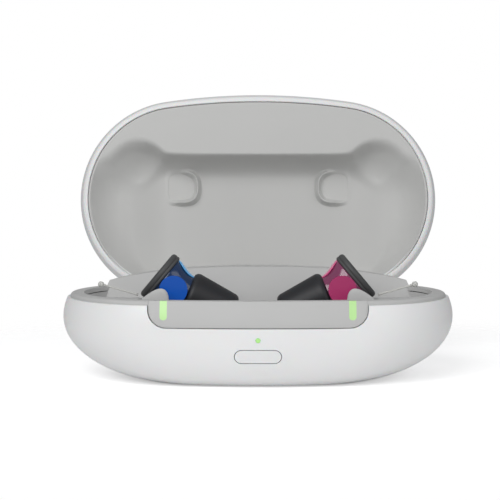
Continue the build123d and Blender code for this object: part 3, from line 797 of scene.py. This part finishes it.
@dataclass
class Aid:
    """One in-ear aid as it lies in its cradle, in mm.

    Places are those of the left aid, and X is mirrored for the right one.

    Attributes:
        case: shared sizes.
        side: "left" or "right".
        y: middle plane.
        plate_x, plate_rise: middle of the faceplate's inner side, in X and in height over the rim.
        plate_tilt: lean of the faceplate, in degrees.
        plate_long, plate_wide, plate_thick: length, width and thickness of the faceplate.
        plate_round, plate_back_round: radii of its outer and inner edges.
        groove_at, groove_half, groove_depth: distance from the outer face, half width and depth of
            the groove round its edge.
        cap_long, cap_wide, cap_round: half sizes and edge rounding of the push button on it.
        cap_rise, cap_foot, cap_up: height of the button, how far it goes into the faceplate, and
            how far it is above the faceplate's middle.
        body_step, body_side_step: how far the faceplate's ends and sides stand out past the body.
        body_swell: how much the body swells at its sides.
        knee: distance from the faceplate of the control point of the body's middle line.
        neck: neck radius.
        highlight_wide, highlight_tall, highlight_sink: half width, half height and sunk depth of the
        painted highlight strip.
        sleeve_x, sleeve_drop: start of the sleeve, in X and in depth under the rim.
        sleeve_fall: fall of the sleeve, in degrees.
        sleeve_overlap: how far the body goes into the sleeve.
        sleeve_long, sleeve_start, sleeve_end: length of the sleeve and the radii of its taper.
        shoulder, shoulder_in: length of its shoulder, and how much that rounds in.
        tip_round, mouth, mouth_depth: radius of its tip, and radius and depth of its opening.
        line_rise: rise of the pull line, in degrees.
        line_start, line_end: distances at which the line begins and ends, inside the bead.
        line_inset: distance of its axis from the faceplate's lower edge.
        line_radius, line_flare: its radius, and how much thicker it is at the faceplate.
        bead_at, bead_radius: distance of the bead's middle, and its radius.
        waist: depth of the bead's waist, as a share of its radius.
        collar: radius of the bead's collar.
    """

    case: Case
    side: str
    y: float = -3.0
    plate_x: float = -21.8
    plate_rise: float = 3.1
    plate_tilt: float = 40.0
    plate_long: float = 12.2
    plate_wide: float = 10.0
    plate_thick: float = 2.0
    plate_round: float = 0.75
    plate_back_round: float = 0.35
    groove_at: float = 1.26
    groove_half: float = 0.04
    groove_depth: float = 0.1
    cap_long: float = 1.55
    cap_wide: float = 0.95
    cap_round: float = 0.3
    cap_rise: float = 0.28
    cap_foot: float = 0.2
    cap_up: float = 2.4
    body_step: float = 0.4
    body_side_step: float = 0.25
    body_swell: float = 0.25
    knee: float = 3.0
    neck: float = 4.2
    highlight_wide: float = 2.3
    highlight_tall: float = 0.32
    highlight_sink: float = 0.12
    sleeve_x: float = -16.24
    sleeve_drop: float = 0.3
    sleeve_fall: float = 22.0
    sleeve_overlap: float = 0.4
    sleeve_long: float = 11.6
    sleeve_start: float = 5.3
    sleeve_end: float = 3.9
    shoulder: float = 1.3
    shoulder_in: float = 1.0
    tip_round: float = 1.5
    mouth: float = 1.1
    mouth_depth: float = 0.8
    line_rise: float = 15.7
    line_start: float = 1.25
    line_end: float = 9.6
    line_inset: float = 0.1
    line_radius: float = 0.24
    line_flare: float = 0.1
    bead_at: float = 10.05
    bead_radius: float = 0.72
    waist: float = 0.12
    collar: float = 0.34

    @property
    def body(self) -> str:
        """Body that the aid's pieces ride on."""
        return f"{self.side}_aid"

    @property
    def plate_axis(self) -> Axis:
        """Axis through the faceplate, from its inner side towards the body."""
        at = np.array([self.plate_x, self.y, self.case.rim + self.plate_rise])
        return Axis.falling(at, self.plate_tilt)

    @property
    def sleeve_axis(self) -> Axis:
        """Axis of the sleeve, from its start to its tip."""
        at = np.array([self.sleeve_x, self.y, self.case.rim - self.sleeve_drop])
        return Axis.falling(at, self.sleeve_fall)

    @property
    def line_axis(self) -> Axis:
        """Axis of the pull line, from inside the faceplate's lower edge to the bead."""
        plate = self.plate_axis
        down = self.plate_long / 2 - self.line_inset
        low = plate.at - plate.up * down - plate.out * (self.plate_thick / 2)
        return Axis.falling(low, 180 + self.line_rise)

    def _piece(self, name: str, grid: np.ndarray) -> bpy.types.Object:
        """Make a piece of this aid from rings of the left one's points, mirrored for the right one."""
        mirror = np.array([1.0 if self.side == "left" else -1.0, 1.0, 1.0])
        return skin(f"{self.side}_{name}", grid * mirror, self.body)

    def _straight(
        self, name: str, axis: Axis, along: np.ndarray, half: np.ndarray, power: float, around: int
    ) -> bpy.types.Object:
        """Make a piece of this aid whose sections lie along a straight axis.

        Args:
            name: name of the piece without its side.
            axis: axis of the piece.
            along: distance of each ring.
            half: half sizes of each ring, (rings, 2), or its radius, (rings,).
            power: superellipse power.
            around: points around.

        Returns:
            The piece.
        """
        middle = axis.at + along[:, None] * axis.out
        half = np.broadcast_to(half.reshape(len(along), -1), (len(along), 2))
        return self._piece(name, carried(middle, axis.up, half, power, around))

    def faceplate(self) -> bpy.types.Object:
        """Build the faceplate: a flat plate with round edges and a groove round its edge.

        Returns:
            The plate piece.
        """
        turn = np.linspace(0, math.pi / 2, 9)
        groove = self.groove_at + self.groove_half * np.array([-2, -1, 1, 2])
        along = np.concatenate([
            self.plate_round * (1 - np.cos(turn)), np.array([self.plate_round + 0.15]),
            groove, np.array([self.plate_thick - self.plate_back_round - 0.01]),
            self.plate_thick - self.plate_back_round * (1 - np.sin(turn)),
        ])
        rim = np.concatenate([
            self.plate_round * (1 - np.sin(turn)), np.zeros(1),
            self.groove_depth * np.array([0, 1, 1, 0]), np.zeros(1),
            self.plate_back_round * (1 - np.cos(turn)),
        ])
        size = np.array([self.plate_wide / 2, self.plate_long / 2])
        core = np.linspace(0.08, 0.96, 7)[:, None]
        half = np.concatenate([
            core * (size - self.plate_round), size - rim[:, None],
            core[::-1] * (size - self.plate_back_round),
        ])
        along = np.concatenate([np.zeros(len(core)), along, np.full(len(core), self.plate_thick)])
        along = along - self.plate_thick
        return self._straight("faceplate_skin", self.plate_axis, along, half, power=2.15, around=96)

    def face_button(self) -> bpy.types.Object:
        """Build the small push button on the faceplate: an oval cap with a round edge.

        Returns:
            The button piece.
        """
        plate = self.plate_axis
        turn = np.linspace(math.pi / 2, 0, 8)
        along = np.concatenate([-self.cap_rise * np.sin(turn), np.array([0.0, self.cap_foot])])
        grow = np.concatenate([np.cos(turn), np.ones(2)])[:, None]
        size = np.array([self.cap_long, self.cap_wide])
        half = (size - self.cap_round * (1 - grow)) * np.clip(grow, 0.75, 1)
        spot = plate.at - plate.out * (self.plate_thick - self.cap_rise) + plate.up * self.cap_up
        axis = Axis(spot, plate.out, plate.up)
        return self._straight("face_button", axis, along, half, power=2.4, around=48)

    def _middle_line(self, share: np.ndarray) -> tuple[np.ndarray, np.ndarray, np.ndarray]:
        """Work out the body's middle line, a quadratic curve through a knee behind the faceplate.

        Args:
            share: shares of the way from the faceplate to the neck, (rings, 1).

        Returns:
            Points, upward directions and half heights, which narrow with a cosine ease.
        """
        plate, sleeve = self.plate_axis, self.sleeve_axis
        knee = plate.at + plate.out * self.knee
        end = sleeve.at + sleeve.out * self.sleeve_overlap
        middle = (1 - share) ** 2 * plate.at + 2 * share * (1 - share) * knee + share**2 * end
        up = between(plate.up, sleeve.up, share)
        up = up / np.linalg.norm(up, axis=1, keepdims=True)
        return middle, up, between(self.plate_long / 2 - self.body_step, self.neck, self._ease(share))

    @staticmethod
    def _ease(share: np.ndarray) -> np.ndarray:
        """Ease from 0 to 1 with a cosine."""
        return 0.5 - 0.5 * np.cos(np.pi * share)

    def shell(self) -> bpy.types.Object:
        """Build the clear body from the faceplate to the neck, swelling a little at its sides.

        Returns:
            The body piece.
        """
        share = np.linspace(0, 1, 26)[:, None]
        middle, up, tall = self._middle_line(share)
        wide = between(self.plate_wide / 2 - self.body_side_step, self.neck, self._ease(share))
        wide = wide + self.body_swell * np.sin(np.pi * share)
        half = np.concatenate([wide, tall], 1)
        return self._piece("shell_skin", carried(middle, up, half, power=2.1, around=96))

    def seam(self) -> bpy.types.Object:
        """Build a painted highlight, a light glowing strip along the body's upper edge.

        A flat superellipse is carried along the body's upper line, narrow at both ends.

        Returns:
            The seam piece.
        """
        share = np.linspace(0, 1, 22)[:, None]
        middle, up, tall = self._middle_line(share)
        taper = np.sin(np.pi * np.clip(share, 0.03, 0.97)) ** 0.35
        half = taper * np.array([self.highlight_wide, self.highlight_tall])
        middle = middle + up * (tall - self.highlight_sink)
        return self._piece("shell_painted_highlight", carried(middle, up, half, power=2.4, around=32))

    def sleeve(self) -> bpy.types.Object:
        """Build the soft sleeve: a round shoulder, a straight taper, a round tip and its opening.

        Returns:
            The sleeve piece.
        """
        turn = np.linspace(0, math.pi / 2, 10)
        taper = np.linspace(0.1, 1, 14)[:-1]
        tip_at = self.sleeve_long - self.tip_round
        tip = self.sleeve_end + (self.sleeve_start - self.sleeve_end) * self.tip_round / self.sleeve_long
        along = np.concatenate([
            np.zeros(2), self.shoulder * (1 - np.cos(turn)),
            between(self.shoulder, tip_at, taper), tip_at + self.tip_round * np.sin(turn),
            self.sleeve_long - self.mouth_depth * np.array([0, 0, 1, 1]),
        ])
        radius = np.concatenate([
            np.array([0.3, 2.4]), self.sleeve_start - self.shoulder_in * (1 - np.sin(turn)),
            between(self.sleeve_start, tip, taper), tip - self.tip_round * (1 - np.cos(turn)),
            self.mouth + np.array([0.15, 0.0, -0.1, -0.9]),
        ])
        return self._straight("sleeve_skin", self.sleeve_axis, along, radius, power=2.0, around=80)

    def line(self) -> bpy.types.Object:
        """Build the pull line, a little thicker where it leaves the faceplate.

        Returns:
            The line piece.
        """
        along = np.linspace(self.line_start, self.line_end, 20)
        radius = self.line_radius + self.line_flare * np.exp(-(along - self.line_start) / 0.5)
        return self._straight("line_skin", self.line_axis, along, radius, power=2.0, around=16)

    def bead(self) -> bpy.types.Object:
        """Build the bead at the line's end: a ball with a waist and a small collar.

        Returns:
            The bead piece.
        """
        turn = np.linspace(0.12, math.pi - 0.12, 22)
        waist = 1 - self.waist * np.exp(-(((turn - math.pi / 2) / 0.22) ** 2))
        along = np.concatenate([
            self.bead_at - np.array([1.1, 1.05, 0.8]), self.bead_at - self.bead_radius * np.cos(turn),
        ])
        radius = np.concatenate([
            np.array([self.line_radius, self.collar, self.collar]),
            self.bead_radius * np.sin(turn) * waist,
        ])
        return self._straight("bead_skin", self.line_axis, along, radius, power=2.0, around=32)

    def build(self, box: Paintbox) -> None:
        """Build and dress every piece of the aid.

        Args:
            box: maker of the materials.
        """
        ear = EARS[self.side]
        replaced = (
            (self.faceplate(), PLATE, "faceplate"), (self.shell(), ear.body, "body"),
            (self.sleeve(), SLEEVE, "sleeve"), (self.line(), LINE, "pull_line"),
            (self.bead(), LINE, "knob"),
        )
        for piece, finish, node in replaced:
            box.paint(piece, finish)
            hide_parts(f"{self.side}_aid_{node}")
        # Painted highlight: a light, glowing strip along the body's upper edge.
        box.paint(self.seam(), ear.seam)
        box.paint(self.face_button(), CAP)


@dataclass
class Hump:
    """Smooth hump of the tray behind a light bar, over the tray's guide wall, in mm.

    Attributes:
        case: shared sizes.
        middle_y: Y of the middle of the wall.
        inner_x: X of the inner end, without its side's sign.
        run: length along X.
        half: half thickness.
        rise: height over the rim.
        ends: how far its ends lie under the rim.
        foot: how far its foot lies under the rim.
        rings: sections along X.
    """

    case: Case
    middle_y: float = -12.6
    inner_x: float = 19.95
    run: float = 6.6
    half: float = 0.78
    rise: float = 1.75
    ends: float = 1.2
    foot: float = 3.2
    rings: int = 40

    def build(self, name: str, side: int) -> bpy.types.Object:
        """Build one hump.

        Sections across the wall are superellipses carried along X; their height rises fast at
        the inner end, rounds over and falls slowly to the outer end.

        Args:
            name: object name.
            side: -1 for the left hump, 1 for the right one.

        Returns:
            The hump piece.
        """
        share = np.linspace(0.0, 1.0, self.rings)
        profile = np.maximum(np.sin(np.pi * share**0.55), 0.0) ** 0.8
        top = between(self.case.rim - self.ends, self.case.rim + self.rise, profile)
        foot = self.case.rim - self.foot
        x = side * (self.inner_x + self.run * share)
        middle = np.stack([x, np.full(self.rings, self.middle_y), (top + foot) / 2], -1)
        half = np.stack([self.half * np.clip(profile, 0.25, 1), (top - foot) / 2], -1)
        return skin(name, carried(middle, UPWARDS, half, power=2.8, around=40), "base")


@dataclass(frozen=True)
class Lamp:
    """One square lamp that looks at the case.

    Attributes:
        name: lamp name.
        place: position in mm.
        size: side length in mm.
        power: watts.
    """

    name: str
    place: tuple[float, float, float]
    size: float
    power: float


LAMPS = (
    Lamp("key", (-180, -400, 300), 320, 1.32),
    Lamp("fill", (320, -340, 200), 340, 0.45),
    Lamp("top", (0, 20, 480), 360, 0.14),
)


@dataclass
class Studio:
    """Camera, lamps, floor and background.

    Attributes:
        rim: height of the case's rim, in mm, whose middle the camera is aimed from.
        distance: camera to the middle of the rim, in mm.
        tilt: angle of that ray below the horizontal, in degrees.
        pixels_per_mm: scale of the photograph at the middle of the rim.
        picture: side of the photograph, in pixels.
        offset_x: pixels from the photograph's middle to the rim's middle.
        offset_y: pixels from the photograph's middle down to the rim's middle.
        sensor: width of the camera's sensor, in mm.
        aim: point that the lamps look at, in mm.
        light: strength of the world's light on the case.
        floor_glow: share of the floor's light that only the camera sees.
        floor_half: half side of the floor, in mm.
        fade_start: distance from the middle at which the floor starts to fade out, in mm.
        fade_end: distance at which it is gone.
    """

    rim: float
    distance: float = 370.0
    tilt: float = 5.33
    pixels_per_mm: float = 4.307
    picture: float = 500.0
    offset_x: float = 8.0
    offset_y: float = 41.1
    sensor: float = 36.0
    aim: tuple[float, float, float] = (0.0, 5.0, 25.0)
    light: float = 0.33
    floor_glow: float = 0.45
    floor_half: float = 3000.0
    fade_start: float = 55.0
    fade_end: float = 140.0

    def build(self) -> None:
        """Make the whole studio."""
        self._camera()
        for lamp in LAMPS:
            self._lamp(lamp)
        self._world()
        self._floor()

    @staticmethod
    def _linked(name: str, data: bpy.types.ID) -> bpy.types.Object:
        """Add an object with its camera, light or mesh to the scene."""
        made = bpy.data.objects.new(name, data)
        bpy.context.scene.collection.objects.link(made)
        return made

    def _camera(self) -> None:
        """Place the camera so that the rim's middle falls where it does in the photograph."""
        tilt = math.radians(self.tilt)
        focal = self.distance * self.pixels_per_mm
        data = bpy.data.cameras.new("camera")
        data.sensor_width = self.sensor
        data.lens = self.sensor * focal / self.picture
        data.shift_x = -self.offset_x / self.picture
        data.clip_start, data.clip_end = 0.01, 10.0
        camera = self._linked("camera", data)
        height = self.rim + self.distance * math.sin(tilt)
        camera.location = Vector((0, -self.distance * math.cos(tilt), height)) * MM
        below = tilt - math.atan(self.offset_y / focal)
        camera.rotation_euler = (math.pi / 2 - below, 0, 0)
        bpy.context.scene.camera = camera

    def _lamp(self, lamp: Lamp) -> None:
        """Add a lamp.

        Args:
            lamp: its place, size and power.
        """
        data = bpy.data.lights.new(lamp.name, "AREA")
        data.size = lamp.size * MM
        data.energy = lamp.power
        made = self._linked(lamp.name, data)
        made.location = Vector(lamp.place) * MM
        made.rotation_mode = "QUATERNION"
        made.rotation_quaternion = (Vector(self.aim) * MM - made.location).to_track_quat("-Z", "Y")

    def _world(self) -> None:
        """Make the world white to the camera and through clear things, and soft grey light elsewhere."""
        world = bpy.data.worlds.new("studio")
        bpy.context.scene.world = world
        world.use_nodes = True
        tree = world.node_tree
        tree.nodes.clear()
        path = add_node(tree, "ShaderNodeLightPath").outputs
        seen = add_node(tree, "ShaderNodeMath", path["Is Camera Ray"], path["Is Transmission Ray"])
        seen.operation = "MAXIMUM"
        soft = add_node(tree, "ShaderNodeBackground", linear("#f4f5f7"), self.light)
        white = add_node(tree, "ShaderNodeBackground", linear("#ffffff"), 1.0)
        mix = add_node(tree, "ShaderNodeMixShader", seen.outputs[0], soft.outputs[0], white.outputs[0])
        add_node(tree, "ShaderNodeOutputWorld", mix.outputs[0])

    def _floor(self) -> None:
        """Make a white floor that takes the case's shadow and fades out into the background."""
        mesh = bpy.data.meshes.new("floor")
        half = self.floor_half * MM
        corners = [(-half, -half, 0), (half, -half, 0), (half, half, 0), (-half, half, 0)]
        mesh.from_pydata(corners, [], [(0, 1, 2, 3)])
        material = bpy.data.materials.new("studio_paper")
        material.use_nodes = True
        tree = material.node_tree
        tree.nodes.clear()
        seen = add_node(tree, "ShaderNodeLightPath").outputs["Is Camera Ray"]
        glow = add_node(tree, "ShaderNodeMath", seen, self.floor_glow)
        glow.operation = "MULTIPLY"
        paper = add_node(
            tree, "ShaderNodeBsdfPrincipled",
            Base_Color=linear("#ffffff"), Roughness=0.9,
            Emission_Color=linear("#ffffff"), Emission_Strength=glow.outputs[0],
        )
        place = tree.nodes.new("ShaderNodeTexCoord").outputs["Object"]
        length = add_node(tree, "ShaderNodeVectorMath", place)
        length.operation = "LENGTH"
        fade = add_node(
            tree, "ShaderNodeMapRange",
            Value=length.outputs["Value"], From_Min=self.fade_start * MM, From_Max=self.fade_end * MM,
        )
        fade.interpolation_type = "SMOOTHSTEP"
        gone = add_node(tree, "ShaderNodeBsdfTransparent")
        mix = add_node(
            tree, "ShaderNodeMixShader", fade.outputs["Result"], paper.outputs[0], gone.outputs[0]
        )
        add_node(tree, "ShaderNodeOutputMaterial", mix.outputs[0])
        mesh.materials.append(material)
        self._linked("floor", mesh)


def main() -> None:
    """Build the looks of the whole charger."""
    logging.basicConfig(level=logging.INFO)
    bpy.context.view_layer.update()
    box = Paintbox()
    finishes = node_finishes()
    for name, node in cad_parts.items():
        box.paint(node, finishes[name])
    case = Case()
    lid = Lid(case, Hollow())
    for piece, finish, node in ((lid.shell(), SHELL, "lid_shell"), (lid.liner(), LINER, "lid_liner")):
        box.paint(piece, finish)
        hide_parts(node)
    for sign, side in ((-1, "left"), (1, "right")):
        box.paint(lid.cup(f"{side}_cup", sign, Cup()), LINER)
        box.paint(Hump(case).build(f"{side}_hump", sign), TRAY)
        Aid(case, side).build(box)
    Studio(case.rim).build()
    bpy.context.scene.view_settings.view_transform = "Standard"


if __name__ == "__main__":
    main()
